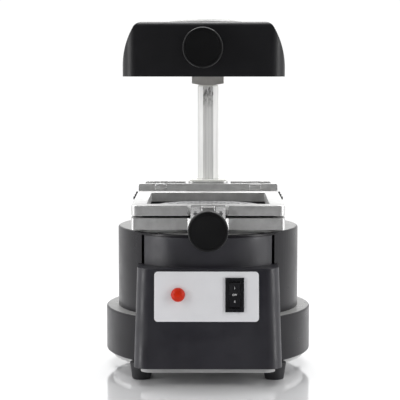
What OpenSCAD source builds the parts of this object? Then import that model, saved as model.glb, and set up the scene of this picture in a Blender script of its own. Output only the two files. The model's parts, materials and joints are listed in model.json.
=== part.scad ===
// Dental vacuum former: a drum base with a vacuum motor, a sheet frame that slides on a post,
// and a heating head that swings on top of the post.
// The base's underside is level, +Z is up, and the control panel faces -Y.

/* [Base] */
// Height of the rubber feet, which is also the height of the housings' lower edge
foot_h = 16; // [13:0.5:20]
// Radius of a rubber foot at its top
foot_r = 11.4; // [9:0.1:12.5]
// Distance of the feet to the left and right of the middle
foot_x = 63.7; // [62:0.1:65]
// Distance of the front feet in front of the drum's axis
foot_front_y = 76; // [66:0.5:82]
// Distance of the rear feet behind the drum's axis
foot_rear_y = 62; // [50:0.5:64]
// Radius of the wide lower tier
low_r = 102; // [99:0.5:104]
// Height of the lower tier's ledge
low_top = 60.3; // [56:0.1:62]
// Radius of the narrower upper drum
up_r = 89.8; // [87:0.1:93]
// Height of the deck on top of the drum
deck_top = 140; // [136:0.5:141]
// Wall thickness of the moulded housings
wall = 3; // [2:0.1:4]
// Rounding of the drum's visible rims
rim_r = 2; // [0.5:0.1:2.8]
// Thickness of the bottom plate
plate_t = 4.7; // [3:0.1:6]

/* [Front box] */
// Half width of the front box at its lower edge
box_hw = 70.1; // [69:0.1:73]
// Distance of the box's lower front edge in front of the lower tier
box_lead = 9; // [7:0.5:16]
// Height of the box's flat top
box_top = 108.8; // [106:0.1:114]
// Backward lean of the control face, in degrees
rake = 9.1; // [7:0.1:10]
// Inward lean of the box's sides, in degrees
draft = 1.7; // [0.5:0.1:3]
// Rounding of the box's two upright edges
box_corner = 13.5; // [6:0.5:18]
// Half width of the smooth neck between its two grooves
neck_hw = 61.2; // [54:0.1:64]
// Width of each groove beside the neck
groove = 2.7; // [1:0.1:3]

/* [Control panel] */
// Width of the panel
panel_w = 98.3; // [90:0.1:106]
// Height of the panel, measured along the leaning face
panel_l = 47; // [43:0.1:50]
// Thickness of the panel
panel_t = 1.2; // [0.6:0.1:2]
// Gap between the panel's upper edge and the box's top, along the face
panel_gap = 2.6; // [0.5:0.1:4]
// Sideways place of the lamp on the panel
lamp_x = -28.2; // [-38:0.1:-16]
// Radius of the lamp's lens
lamp_r = 6.6; // [5:0.1:8]
// Height of the lamp's lens above the panel
lamp_h = 6; // [4:0.1:9]
// Sideways place of the switch on the panel
switch_x = 25; // [18:0.1:34]
// Width of the switch's bezel
switch_w = 17.6; // [15:0.1:20]
// Height of the switch's bezel
switch_l = 32.2; // [29:0.1:36]
// Width of the rocker
rocker_w = 10.6; // [8:0.1:11]
// Height of the rocker
rocker_l = 23.2; // [18:0.1:24]

/* [Post and carriage] */
// Gap between the upper drum and the post
post_gap = 4.6; // [3.1:0.1:9]
// Width of the post across its flats
post_w = 22.2; // [20:0.1:24]
// Width of each main flat of the post
post_flat = 11; // [8:0.1:14]
// Height of the shoulder that carries the heating head
post_top = 276.6; // [262:0.5:300]
// Radius of the bore that runs through the post
post_bore = 3.5; // [2:0.1:4]
// Running gap between the post and the carriage's liner
slide_gap = 0.35; // [0.2:0.05:0.6]
// Wall of the carriage's nylon liner
liner_t = 2; // [1:0.1:3]
// Height of the lower frame's underside
frame_z = 143.5; // [142.5:0.1:146]
// Thickness of the lower frame
lower_t = 11.1; // [9:0.1:13]
// Gap between the two frames, where the sheet is held
sheet_gap = 2.4; // [1.8:0.1:4]
// Thickness of the upper frame
upper_t = 9.5; // [8:0.1:11]
// Half width of both frames
frame_hw = 73.4; // [70:0.1:76]
// Distance of the frames' front edge in front of the drum's axis
frame_front = 77.9; // [75:0.1:80]
// Half width of the frames' window
window_hx = 59.1; // [57:0.1:60]
// Half depth of the frames' window
window_hy = 59.1; // [53:0.1:60]
// Width of the frames' rear rail, from the window to the crossbar
rear_rail = 20.7; // [19.5:0.1:24]
// Thickness of the crossbar behind the frames
bar_t = 7.6; // [7:0.1:9]
// Height of the crossbar above the upper frame's face
bar_rise = 7.4; // [6:0.1:10]
// Radius of the hinge pin
pin_r = 2.5; // [1.5:0.1:3]

/* [Platen] */
// Gap between the platen and the frames' window
platen_gap = 2; // [0.8:0.1:3]
// Height of the platen's face
platen_top = 158.2; // [155:0.1:162]
// Radius of each suction hole
hole_r = 1.3; // [0.8:0.1:1.8]
// Number of rings of suction holes round the middle one
ring_n = 5; // [3:1:6]

/* [Heating head] */
// Half width of the head at its lower edge
head_hw = 77.2; // [72:0.1:80]
// Distance of the head's front in front of the drum's axis
head_front = 76; // [70:0.5:80]
// Distance of the head's back behind the drum's axis
head_back = 68; // [60:0.5:74]
// Gap between the post's shoulder and the head's lower edge
head_lift = 12.1; // [8:0.1:16]
// Height of the head's housing
head_h = 51.4; // [46:0.1:60]
// Radius of the bulge of the head's sides
side_r = 78; // [70:0.5:110]
// Rounding of the head's left and right upper edges
head_edge = 9.4; // [4:0.1:14]
// Rounding of the head's front and back upper edges
head_brow = 5; // [4:0.1:8]
// Rounding of the head's upright edges
head_corner = 14; // [8:0.5:20]
// Swing of the head to its left at rest, in degrees
head_swing = 1.45; // [0:0.05:3]
// Radius of the plate on top of the head
cap_r = 36; // [25:0.5:45]
// Height of the plate on top of the head
cap_h = 3.6; // [2:0.1:8]
// Radius of the head's pivot on top of the post
pivot_r = 8; // [6.5:0.1:9]
// Radius of the heating element's tube
element_r = 3.2; // [2:0.1:4]

/* [Knobs] */
// Radius of both knobs
knob_r = 19; // [14:0.1:20]
// Thickness of both knobs
knob_t = 16; // [13:0.1:18]
// Rounding of both knobs' rims
knob_rim = 1.6; // [1:0.1:4]
// Height of the frame's knob
handle_z = 145.2; // [144.8:0.1:148]
// Height of the head's knob above the head's lower edge
head_knob_z = 27.2; // [22:0.1:30]

/* [Vacuum motor] */
// Radius of the fan's casing
fan_r = 62; // [55:0.5:68]
// Radius of the motor's can
can_r = 41; // [36:0.5:46]
// Number of blades on each impeller
blade_n = 9; // [6:1:14]
// Radius of the motor's shaft
shaft_r = 4; // [3:0.1:5]

/* [Hidden] */
$fn = 72;
// A cut runs this far past the face that it opens
past = 1;
// Gap between two mouldings, and between a fixed piece and its hole
fit = 0.2;
// Gap between a pin and the hole that it is pressed into
press = 0.02;
// Gap between a pin and the hole that it turns in
turn = 0.06;
low_z = foot_h;
plate_z = foot_h - plate_t;
low_in = low_r - wall;
up_in = up_r - wall;
deck_under = deck_top - wall;
// The box's top edge stands in front of the upper drum, and its lower edge in front of the lower tier
face_clear = 6.3;
box_front = max(low_r + box_lead, up_r + (box_top - low_z) * tan(rake) + face_clear);
// The box ends inside the drum, behind the place where its sides meet the upper drum
box_back = 52;
face_l = (box_top - low_z) / cos(rake);
panel_s = face_l - panel_gap - panel_l / 2;
panel_x = -1.4;
lamp_s = panel_s + 2;
switch_s = panel_s + 1.6;
panel_round = 3.4;
rocker_gap = 0.9;
rocker_pivot = -2;
rocker_pin_r = 1.2;
trunnion = rocker_w / 2 + 1.4;
rocker_rise = 2.4;
switch_rise = 1.2;
switch_deep = 24;
frame_top = frame_z + lower_t;
upper_z = frame_top + sheet_gap;
upper_top = upper_z + upper_t;
// The crossbar's front face is also the lower frame's rear face
bar_y = window_hy + rear_rail;
bar_top = upper_top + bar_rise;
pin_y = bar_y + bar_t / 2;
post_y = max(up_r, pin_y + pin_r) + post_gap + post_w / 2;
pin_z = bar_top - pin_r - 2;
lower_corner = 3.4;
upper_corner = 5.2;
ear_w = 12;
ear_x = 50;
ear_r = pin_r + 1.9;
carriage_screw_xs = [-64, -32, 32, 64];
plunger_r = 1.6;
// Bore for the set screw that holds each plunger
set_screw_r = 2.1;
plunger_out = 0.4;
plunger_y = 3;
plunger_z = upper_z + 3;
yoke_hw = 20.9;
yoke_back = post_y + post_w / 2 + liner_t + 6;
yoke_top = bar_top + 2;
rib_hw = 68;
rib_in = 24;
rib_t = 5.6;
bar_round = 2.4;
flange_t = 1.6;
gasket_w = 3;
gasket_in = 1.4;
gasket_proud = 0.9;
gasket_deep = 2;
// The platen is round and as wide as the shorter way across the window
platen_r = min(window_hx, window_hy) - platen_gap;
platen_screw_ring = platen_r - 8;
screw_sunk = 1.8;
platen_seat = deck_top + 1.2;
duct_r = 30;
duct_wall = 2.5;
fan_top = deck_under - 9;
fan_z = fan_top - 34;
can_z = low_z + 8;
bearing_r = 11;
bearing_h = 7;
bearing_z = can_z + 1.5;
can_skin = 1.6;
stator_in = 25;
core_h = 34;
core_z = can_z + 14;
winding_r = stator_in - 1;
commutator_r = 11;
commutator_h = 9;
housing_hw = 30;
housing_wall = 10.4;
inlet_room = 25;
housing_back = max(post_y + post_w / 2 + housing_wall, low_r + inlet_room);
// The carriage comes down to rest on top of the rear housing
housing_top = frame_z - 0.3;
socket_z = 66;
clamp_zs = [88, 120];
bolt_x = 20;
bolt_zs = [76, 112];
// Directions of the bottom plate's screws as seen from above, clear of the feet
plate_screw_angles = [12, 66, 114, 168];
boss_r = 6;
plate_screw_ring = low_in - boss_r + 1;
foot_boss = 7;
foot_boss_h = 18;
head_z = post_top + head_lift;
head_top = head_z + head_h;
washer_t = 1;
collar_z = post_top + washer_t;
collar_hw = 16.8;
collar_h = 38;
collar_top = collar_z + collar_h;
arm_z = head_z + 3;
arm_hw = 24;
arm_t = 4;
arm_screw_x = 18;
arm_screw_zs = [arm_z + 7, arm_z + 25];
cap_stem_r = 12;
thread_r = 5.5;
thread_l = 11;
journal_top = collar_top + 0.5;
stem_r = 4;
// The lead leaves the post's top, bends forward and slopes down into the head's back
lead_r = 2.5;
lead_bend = 8;
lead_turn = 120;
lead_lap = 1;
lead_top = journal_top + thread_l;
sleeve_r = lead_r + 0.3;
head_knob_back = head_front + 3;
lug_in = 7.4;
lug_out = 16.4;
tab_hw = 6;
// The upper frame's front edge has a notch that leaves room for the catch
catch_hw = 19.3;
catch_deep = 5;
// Slant of the notch's ends and of the bracket's upright edges
catch_bevel = 2.6;
tab_l = 9;
bracket_hw = 19.5;
bracket_t = 3;
bracket_front = frame_front + bracket_t;
lug_front = bracket_front + 11;
knob_clear = 3.2;
knob_back = max(lug_front + 1.1, up_r + knob_clear);
screw_r = 2;
screw_head = 3.6;
bolt_r = 2.5;
bolt_head = 4.5;
inlet_z = 37;
inlet_w = 28;
inlet_l = 20;
inlet_rim_t = 2.4;
pin_inlet_r = 1.2;
fuse_z = 56;
fuse_r = 5.5;
fuse_out = 6;
element_z = head_z + 14;
pan_z = head_z + 8;
pan_top = head_z + 32;
pan_hx = head_hw - 11;
pan_front = head_front - 10;
pan_back = head_back - 10;
// The drum's axis is moved so that the origin lies under the middle of the whole machine
drum_y = (box_front - housing_back - fuse_out) / 2;

// Shared shapes

module place() {
    translate([0, drum_y, 0]) children();
}

// The head and all it carries, swung about the post
module swung() {
    place()
        translate([0, post_y, 0])
            rotate([0, 0, -head_swing])
                translate([0, -post_y, 0])
                    children();
}

module ring(outer, inner, height) {
    difference() {
        cylinder(r = outer, h = height);
        translate([0, 0, -past]) cylinder(r = inner, h = height + 2 * past);
    }
}

// A rectangle with round corners, from y0 to y1 and half_w to each side
module round_rect(half_w, y0, y1, r) {
    translate([-half_w + r, y0]) square([2 * (half_w - r), y1 - y0]);
    translate([-half_w, y0 + r]) square([2 * half_w, y1 - y0 - 2 * r]);
    for (x = [-half_w + r, half_w - r])
        for (y = [y0 + r, y1 - r])
            translate([x, y]) circle(r = r);
}

module round_plate(half_w, y0, y1, r, z0, z1) {
    translate([0, 0, z0])
        linear_extrude(height = z1 - z0)
            round_rect(half_w, y0, y1, r);
}

// A flat frame: a round plate with a rectangular window
module window_frame(half_w, y0, y1, r, in_x, in_y, z0, z1) {
    difference() {
        round_plate(half_w, y0, y1, r, z0, z1);
        translate([-in_x, -in_y, z0 - past]) cube([2 * in_x, 2 * in_y, z1 - z0 + 2 * past]);
    }
}

// A cylinder along Y, from y0 to y1
module along_y(r, y0, y1) {
    translate([0, y1, 0]) rotate([90, 0, 0]) cylinder(r = r, h = y1 - y0);
}

// A cylinder along X, from x0 to x1
module along_x(r, x0, x1) {
    translate([x0, 0, 0]) rotate([0, 90, 0]) cylinder(r = r, h = x1 - x0);
}

// The post's section: a square with wide chamfers
module post_section(grow) {
    a = post_w / 2 + grow;
    c = post_flat / 2 + grow * tan(22.5);
    polygon([[a, c], [c, a], [-c, a], [-a, c], [-a, -c], [-c, -a], [c, -a], [a, -c]]);
}

module post_prism(grow, z0, z1) {
    translate([0, post_y, z0])
        linear_extrude(height = z1 - z0)
            post_section(grow);
}

// The four places of the feet
module at_feet() {
    for (x = [-foot_x, foot_x])
        for (y = [-foot_front_y, foot_rear_y])
            translate([x, y, 0]) children();
}

module at_plate_screws() {
    for (a = plate_screw_angles)
        rotate([0, 0, a]) translate([plate_screw_ring, 0, 0]) children();
}

module at_platen_screws() {
    for (a = [45 : 90 : 315])
        rotate([0, 0, a]) translate([platen_screw_ring, 0, 0]) children();
}

module at_housing_bolts() {
    for (x = [-bolt_x, bolt_x])
        for (z = bolt_zs)
            translate([x, 0, z]) children();
}

module at_arm_screws() {
    for (x = [-arm_screw_x, arm_screw_x])
        for (z = arm_screw_zs)
            translate([x, 0, z]) children();
}

// The sleeve on the lead's slope from the post's top down into the head's back
module lead_sleeve(r, reach) {
    end_y = post_y - lead_bend * (1 - cos(lead_turn));
    end_z = lead_top + lead_bend * sin(lead_turn);
    run = (end_y - pan_back - 0.3 + r * cos(lead_turn)) / sin(lead_turn);
    translate([0, end_y, end_z])
        rotate([lead_turn, 0, 0])
            translate([0, 0, -lead_lap]) cylinder(r = r, h = run + lead_lap + reach);
}

// One side of the front box, as a leaning prism with one rounded upright edge
module box_side(inset) {
    r = box_corner - inset;
    wide = 2 * box_hw + 40;
    deep = box_front;
    translate([0, -box_front, low_z])
        rotate([-rake, 0, 0])
            translate([box_hw, 0, 0])
                rotate([0, -draft, 0])
                    translate([-inset, inset, -40])
                        linear_extrude(height = face_l + 80) {
                            translate([-wide, r]) square([wide, deep]);
                            translate([-wide, 0]) square([wide - r, deep]);
                            translate([-r, r]) circle(r = r);
                        }
}

// The front box as a solid, drawn in by inset on its front and sides
module box_solid(inset, z0, z1, back) {
    intersection() {
        box_side(inset);
        mirror([1, 0, 0]) box_side(inset);
        translate([-low_r, -2 * low_r, z0]) cube([2 * low_r, 2 * low_r - back, z1 - z0]);
    }
}

// Places children on the leaning control face: x across, y up the face, z outward
module on_face(x, s) {
    translate([0, -box_front, low_z])
        rotate([-rake, 0, 0])
            translate([x, 0, s])
                rotate([90, 0, 0])
                    children();
}

module face_block(w, l, z0, z1) {
    translate([-w / 2, -l / 2, z0]) cube([w, l, z1 - z0]);
}

// The drum's outer shape in section
module drum_half() {
    translate([0, low_z]) square([low_r - rim_r, low_top - low_z]);
    translate([0, low_z + rim_r]) square([low_r, low_top - low_z - 2 * rim_r]);
    translate([low_r - rim_r, low_top - rim_r]) circle(r = rim_r);
    translate([low_r - rim_r, low_z + rim_r]) circle(r = rim_r);
    translate([0, low_z]) square([up_r - rim_r, deck_top - low_z]);
    translate([0, low_z]) square([up_r, deck_top - low_z - rim_r]);
    translate([up_r - rim_r, deck_top - rim_r]) circle(r = rim_r);
}

// A knob turned about Y, its round face towards -Y
module knob_shape(back) {
    neck = 8.5;
    neck_l = 3;
    difference() {
        translate([0, -back, 0])
            rotate([90, 0, 0])
                rotate_extrude() {
                    square([neck, knob_t - knob_rim]);
                    translate([0, neck_l]) square([knob_r - knob_rim, knob_t - neck_l]);
                    translate([0, neck_l + knob_rim]) square([knob_r, knob_t - neck_l - 2 * knob_rim]);
                    translate([knob_r - knob_rim, neck_l + knob_rim]) circle(r = knob_rim);
                    translate([knob_r - knob_rim, knob_t - knob_rim]) circle(r = knob_rim);
                }
        along_y(stem_r + press, -back - knob_t / 2, -back + past);
    }
}

// Base

module base_shell() {
    boss_h = foot_boss_h;
    color([0.10, 0.10, 0.11]) place() difference() {
        union() {
            difference() {
                rotate_extrude() intersection() {
                    drum_half();
                    square([low_r + past, deck_top + past]);
                }
                translate([0, 0, low_z - past]) cylinder(r = low_in, h = low_top - wall - low_z + past);
                translate([0, 0, low_z - past]) cylinder(r = up_in, h = deck_under - low_z + past);
            }
            intersection() {
                translate([0, 0, low_z]) cylinder(r = low_in + wall / 2, h = boss_h);
                union() {
                    at_plate_screws() translate([0, 0, low_z]) cylinder(r = boss_r, h = boss_h);
                    for (x = [-1, 1]) {
                        translate([x * foot_x, foot_rear_y, low_z]) cylinder(r = foot_boss, h = boss_h);
                        translate([x * foot_x, foot_rear_y, low_z])
                            rotate([0, 0, x > 0 ? 0 : 180])
                                translate([0, -wall, 0]) cube([low_r, 2 * wall, boss_h]);
                    }
                }
            }
        }
        box_solid(-fit, low_z - past, box_top + fit, box_back);
        translate([-neck_hw - groove, -low_r, box_top - past])
            cube([2 * (neck_hw + groove), low_r - box_back, deck_under - box_top + past]);
        translate([0, 0, deck_under - past]) cylinder(r = duct_r + fit, h = wall + 2 * past);
        for (x = [-foot_x, foot_x])
            translate([x, foot_rear_y, low_z - past]) cylinder(r = screw_r + press, h = boss_h);
        at_platen_screws()
            translate([0, 0, deck_under - past]) cylinder(r = screw_r + press, h = wall + 2 * past);
        at_plate_screws() translate([0, 0, low_z - past]) cylinder(r = screw_r + press, h = 14 + past);
        at_housing_bolts() along_y(bolt_r + press, up_in - 20, up_r + past);
        translate([0, 0, inlet_z]) along_y(8, up_in - 10, low_r + past);
    }
}

module front_cover() {
    tongue = 2.2;
    neck_top = deck_under - fit;
    color([0.11, 0.11, 0.12]) place() difference() {
        union() {
            difference() {
                box_solid(0, low_z, box_top, box_back);
                box_solid(wall, low_z - past, box_top - wall, box_back - past);
            }
            intersection() {
                union() {
                    translate([0, 0, box_top - wall]) ring(up_r, up_in, neck_top - box_top + wall);
                    translate([0, 0, box_top - wall]) ring(up_in, up_in - tongue, neck_top - box_top + wall);
                }
                union() {
                    translate([-neck_hw, -low_r, 0]) cube([2 * neck_hw, low_r - box_back, deck_top]);
                    intersection() {
                        cylinder(r = up_in - fit, h = deck_top);
                        translate([-neck_hw - 2 * groove, -low_r, 0])
                            cube([2 * (neck_hw + 2 * groove), low_r - box_back, deck_top]);
                    }
                }
            }
            intersection() {
                box_solid(wall / 2, low_z, box_top, box_back);
                for (x = [-foot_x, foot_x])
                    translate([x, -foot_front_y, low_z]) {
                        cylinder(r = foot_boss, h = foot_boss_h);
                        translate([x > 0 ? 0 : -low_r, -wall, 0]) cube([low_r, 2 * wall, foot_boss_h]);
                    }
            }
        }
        translate([0, 0, box_top - wall - past]) cylinder(r = up_in - tongue, h = wall + 2 * past);
        for (x = [-foot_x, foot_x])
            translate([x, -foot_front_y, low_z - past]) cylinder(r = screw_r + press, h = foot_boss_h);
        on_face(lamp_x, lamp_s) translate([0, 0, -2 * wall]) cylinder(r = lamp_r - 1, h = 4 * wall);
        on_face(switch_x, switch_s) face_block(switch_w - 1.6, switch_l - 1.6, -2 * wall, 2 * wall);
    }
}

module base_plate() {
    edge = 6.5;
    slot_w = 5;
    color([0.80, 0.80, 0.79]) place() difference() {
        union() {
            translate([0, 0, plate_z]) cylinder(r = low_r - edge, h = plate_t);
            round_plate(box_hw - edge, -box_front + edge, 0, 10, plate_z, low_z);
            round_plate(housing_hw - 2, 0, housing_back - 3, 5, plate_z, low_z);
        }
        at_feet() translate([0, 0, plate_z - past]) cylinder(r = foot_r + 2 * fit, h = plate_t + 2 * past);
        for (a = [0 : 30 : 330])
            rotate([0, 0, a])
                translate([can_r + 10, -slot_w / 2, plate_z - past]) cube([18, slot_w, plate_t + 2 * past]);
        at_plate_screws() translate([0, 0, plate_z - past]) cylinder(r = screw_r + press, h = 14);
    }
}

module plate_screws() {
    color([0.62, 0.63, 0.65]) place() at_plate_screws() translate([0, 0, plate_z]) {
        cylinder(r = screw_r, h = plate_t + 12);
        translate([0, 0, -1.6]) cylinder(r = screw_head, h = 1.6);
    }
}

module rubber_feet() {
    recess = 6;
    color([0.05, 0.05, 0.05]) place() at_feet() difference() {
        cylinder(r1 = foot_r - 2.4, r2 = foot_r, h = foot_h);
        translate([0, 0, -past]) cylinder(r = screw_head + 0.6, h = recess + past);
        cylinder(r = screw_r + press, h = foot_h + past);
    }
}

module foot_screws() {
    color([0.62, 0.63, 0.65]) place() at_feet() {
        translate([0, 0, 3.4]) cylinder(r = screw_head, h = 2.6);
        translate([0, 0, 4]) cylinder(r = screw_r, h = foot_h + 10);
    }
}

module rear_housing() {
    corner = 8;
    color([0.10, 0.10, 0.11]) place() difference() {
        round_plate(housing_hw, 60, housing_back, corner, low_z, housing_top);
        translate([0, 0, low_z - past]) cylinder(r = low_r + fit, h = low_top + fit - low_z + past);
        translate([0, 0, low_z - past]) cylinder(r = up_r + fit, h = housing_top - low_z + 2 * past);
        translate([-housing_hw + wall, 60, low_z - past])
            cube([2 * (housing_hw - wall), housing_back - wall - 60, 46 + past]);
        post_prism(press, socket_z, housing_top + past);
        translate([0, post_y, socket_z - wall * 2]) cylinder(r = post_bore, h = wall * 3);
        translate([-inlet_w / 2, housing_back - 2 * wall, inlet_z - inlet_l / 2])
            cube([inlet_w, 3 * wall, inlet_l]);
        translate([0, 0, fuse_z]) along_y(fuse_r + press, housing_back - 2 * wall, housing_back + past);
        for (z = clamp_zs)
            translate([0, 0, z]) {
                along_y(bolt_r + press, post_y, housing_back + past);
                along_y(bolt_head + 0.1, housing_back - 5, housing_back + past);
            }
        at_housing_bolts() along_y(bolt_r + press, up_in - 10, up_r + 8);
    }
}

module housing_bolts() {
    seat = sqrt(pow(up_in, 2) - pow(bolt_x + bolt_head, 2));
    color([0.62, 0.63, 0.65]) place() at_housing_bolts() {
        along_y(bolt_r, seat - 1, up_r + 6);
        along_y(bolt_head, seat - 3.4, seat - 0.2);
    }
}

module power_inlet() {
    deep = 16;
    rim = 2;
    skin = 2.5;
    color([0.07, 0.07, 0.07]) place() translate([0, housing_back, inlet_z]) difference() {
        union() {
            translate([-inlet_w / 2 + fit, -deep, -inlet_l / 2 + fit])
                cube([inlet_w - 2 * fit, deep + past, inlet_l - 2 * fit]);
            translate([-inlet_w / 2 - rim, 0, -inlet_l / 2 - rim])
                cube([inlet_w + 2 * rim, inlet_rim_t, inlet_l + 2 * rim]);
        }
        translate([-inlet_w / 2 + skin, -deep + 3, -inlet_l / 2 + skin])
            cube([inlet_w - 2 * skin, deep, inlet_l - 2 * skin]);
        at_inlet_pins() along_y(pin_inlet_r + press, -deep - past, 0);
    }
}

// The three contacts of the mains inlet, the middle one higher
module at_inlet_pins() {
    for (x = [-7, 0, 7])
        translate([x, 0, x == 0 ? 2 : -2]) children();
}

module inlet_pins() {
    color([0.75, 0.70, 0.45]) place() translate([0, housing_back, inlet_z])
        at_inlet_pins() along_y(pin_inlet_r, -22, -2);
}

module fuse_holder() {
    color([0.07, 0.07, 0.07]) place() translate([0, 0, fuse_z]) {
        along_y(fuse_r, housing_back - 20, housing_back + past);
        along_y(fuse_r + 1.3, housing_back, housing_back + inlet_rim_t);
        along_y(fuse_r - 0.9, housing_back, housing_back + fuse_out);
    }
}

// Control panel

module control_panel() {
    color([0.86, 0.87, 0.88]) place() difference() {
        on_face(panel_x, panel_s)
            linear_extrude(height = panel_t)
                round_rect(panel_w / 2, -panel_l / 2, panel_l / 2, panel_round);
        on_face(lamp_x, lamp_s) translate([0, 0, -past]) cylinder(r = lamp_r - 1, h = 4);
        on_face(switch_x, switch_s) face_block(switch_w - 1.6, switch_l - 1.6, -past, 4);
    }
}

module lamp_lens() {
    dome_r = 9;
    color([0.85, 0.16, 0.04]) place() on_face(lamp_x, lamp_s) intersection() {
        union() {
            translate([0, 0, panel_t]) cylinder(r = lamp_r, h = 1.4);
            translate([0, 0, panel_t]) cylinder(r = lamp_r - 0.6, h = lamp_h);
        }
        translate([0, 0, panel_t + lamp_h - dome_r]) sphere(r = dome_r);
    }
}

module lamp_body() {
    color([0.85, 0.85, 0.82]) place() on_face(lamp_x, lamp_s)
        translate([0, 0, -20]) cylinder(r = lamp_r - 1 - fit, h = 20 + panel_t);
}

module lamp_nut() {
    color([0.62, 0.63, 0.65]) place() on_face(lamp_x, lamp_s) translate([0, 0, -wall - 4]) difference() {
        cylinder(r = lamp_r + 2, h = 4, $fn = 6);
        translate([0, 0, -past]) cylinder(r = lamp_r - 1, h = 4 + 2 * past);
    }
}

module switch_body() {
    well = 9;
    color([0.04, 0.04, 0.05]) place() on_face(switch_x, switch_s) difference() {
        union() {
            face_block(switch_w, switch_l, panel_t, panel_t + switch_rise);
            face_block(switch_w - 1.6 - 2 * fit, switch_l - 1.6 - 2 * fit, -switch_deep, panel_t);
        }
        face_block(rocker_w + 2 * fit, rocker_l + 2 * rocker_gap, -well, panel_t + switch_rise + past);
        translate([0, 0, rocker_pivot]) along_x(rocker_pin_r + turn, -trunnion - fit, trunnion + fit);
    }
}

module rocker() {
    h = rocker_l / 2;
    top = panel_t + rocker_rise;
    dip = 1.5;
    low = -6.5;
    foot = 4.5;
    color([0.03, 0.03, 0.03]) place() on_face(switch_x, switch_s) {
        translate([rocker_w / 2, 0, 0])
            rotate([0, -90, 0])
                linear_extrude(height = rocker_w)
                    polygon([[top, -h], [top - dip, 0], [top, h], [-1, h],
                        [low, foot], [low, -foot], [-1, -h]]);
        translate([0, 0, rocker_pivot]) along_x(rocker_pin_r, -trunnion, trunnion);
    }
}

// Vacuum motor

module motor_mount() {
    color([0.06, 0.06, 0.06]) place() translate([0, 0, low_z]) ring(can_r + 4, can_r - 8, can_z - low_z);
}

module motor_can() {
    color([0.60, 0.61, 0.63]) place() difference() {
        translate([0, 0, can_z]) cylinder(r = can_r, h = fan_z - can_z);
        translate([0, 0, can_z + 2]) ring(can_r - can_skin, bearing_r + 3, fan_z);
        translate([0, 0, bearing_z + bearing_h]) cylinder(r = can_r - can_skin, h = fan_z);
        translate([0, 0, can_z - past]) cylinder(r = shaft_r + 1, h = 4);
        translate([0, 0, bearing_z]) cylinder(r = bearing_r + press, h = bearing_h + past);
        for (a = [0 : 45 : 315])
            rotate([0, 0, a]) translate([can_r - 4, -4, fan_z - 12]) cube([8, 8, 8]);
    }
}

module stator() {
    color([0.45, 0.28, 0.16]) place()
        translate([0, 0, core_z]) ring(can_r - can_skin - fit, stator_in, core_h);
}

module armature() {
    color([0.55, 0.36, 0.20]) place() difference() {
        union() {
            translate([0, 0, core_z - 1]) cylinder(r = winding_r, h = core_h + 2);
            translate([0, 0, core_z + core_h + 1]) cylinder(r = commutator_r, h = commutator_h);
        }
        translate([0, 0, can_z]) cylinder(r = shaft_r + press, h = fan_z);
    }
}

module motor_shaft() {
    color([0.75, 0.76, 0.78]) place()
        translate([0, 0, can_z + 2.2]) cylinder(r = shaft_r, h = fan_top - can_z - 8);
}

module lower_bearing() {
    color([0.70, 0.71, 0.73]) place() translate([0, 0, bearing_z]) ring(bearing_r, shaft_r + turn, bearing_h);
}

module upper_bearing() {
    color([0.70, 0.71, 0.73]) place() translate([0, 0, fan_z - 3]) ring(bearing_r, shaft_r + turn, bearing_h);
}

module brush_holders() {
    color([0.50, 0.38, 0.18]) place()
        for (a = [0, 180])
            rotate([0, 0, a])
                translate([commutator_r + 0.6, -4, core_z + core_h + 2])
                    cube([can_r - can_skin - 0.4 - commutator_r - 0.6, 8, commutator_h - 2]);
}

module fan_case() {
    skin = 1.6;
    color([0.66, 0.67, 0.69]) place() difference() {
        translate([0, 0, fan_z]) cylinder(r = fan_r, h = fan_top - fan_z);
        translate([0, 0, fan_z + 4]) cylinder(r = fan_r - skin, h = fan_top - fan_z - 4 - skin);
        translate([0, 0, fan_z - past]) cylinder(r = bearing_r + press, h = 6);
        translate([0, 0, fan_top - 4]) cylinder(r = 22, h = 6);
        for (a = [0 : 45 : 315])
            rotate([0, 0, a + 20]) translate([fan_r - 5, -6, fan_z + 6]) cube([10, 12, 6]);
    }
}

module diffuser() {
    color([0.20, 0.20, 0.21]) place() translate([0, 0, fan_z + 16.5]) ring(fan_r - 1.8, 16, 2);
}

module impeller(z) {
    rim = fan_r - 5;
    color([0.72, 0.73, 0.75]) place() translate([0, 0, z]) difference() {
        union() {
            cylinder(r = rim, h = 1.4);
            cylinder(r = 9, h = 9);
            for (k = [0 : blade_n - 1])
                rotate([0, 0, k * 360 / blade_n]) translate([7, -0.7, 1]) cube([rim - 9, 1.4, 7.4]);
        }
        translate([0, 0, -past]) cylinder(r = shaft_r + press, h = 12);
    }
}

module lower_impeller() { impeller(fan_z + 5); }
module upper_impeller() { impeller(fan_z + 20); }

module fan_seal() {
    color([0.08, 0.08, 0.08]) place() translate([0, 0, fan_top]) ring(duct_r + 4, duct_r - 5, 5);
}

module suction_duct() {
    color([0.12, 0.12, 0.13]) place() difference() {
        union() {
            translate([0, 0, fan_top + 5]) cylinder(r = duct_r, h = deck_top - fan_top - 4);
            translate([0, 0, deck_top]) cylinder(r = duct_r + 6, h = 1);
        }
        translate([0, 0, fan_top]) cylinder(r = duct_r - duct_wall, h = deck_top);
    }
}

// Platen

module platen_gasket() {
    color([0.05, 0.05, 0.05]) place() difference() {
        translate([0, 0, deck_top]) ring(platen_r, platen_screw_ring - 5, platen_seat - deck_top);
        at_platen_screws() translate([0, 0, deck_top - past]) cylinder(r = screw_r + fit, h = 2 + 2 * past);
    }
}

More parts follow.
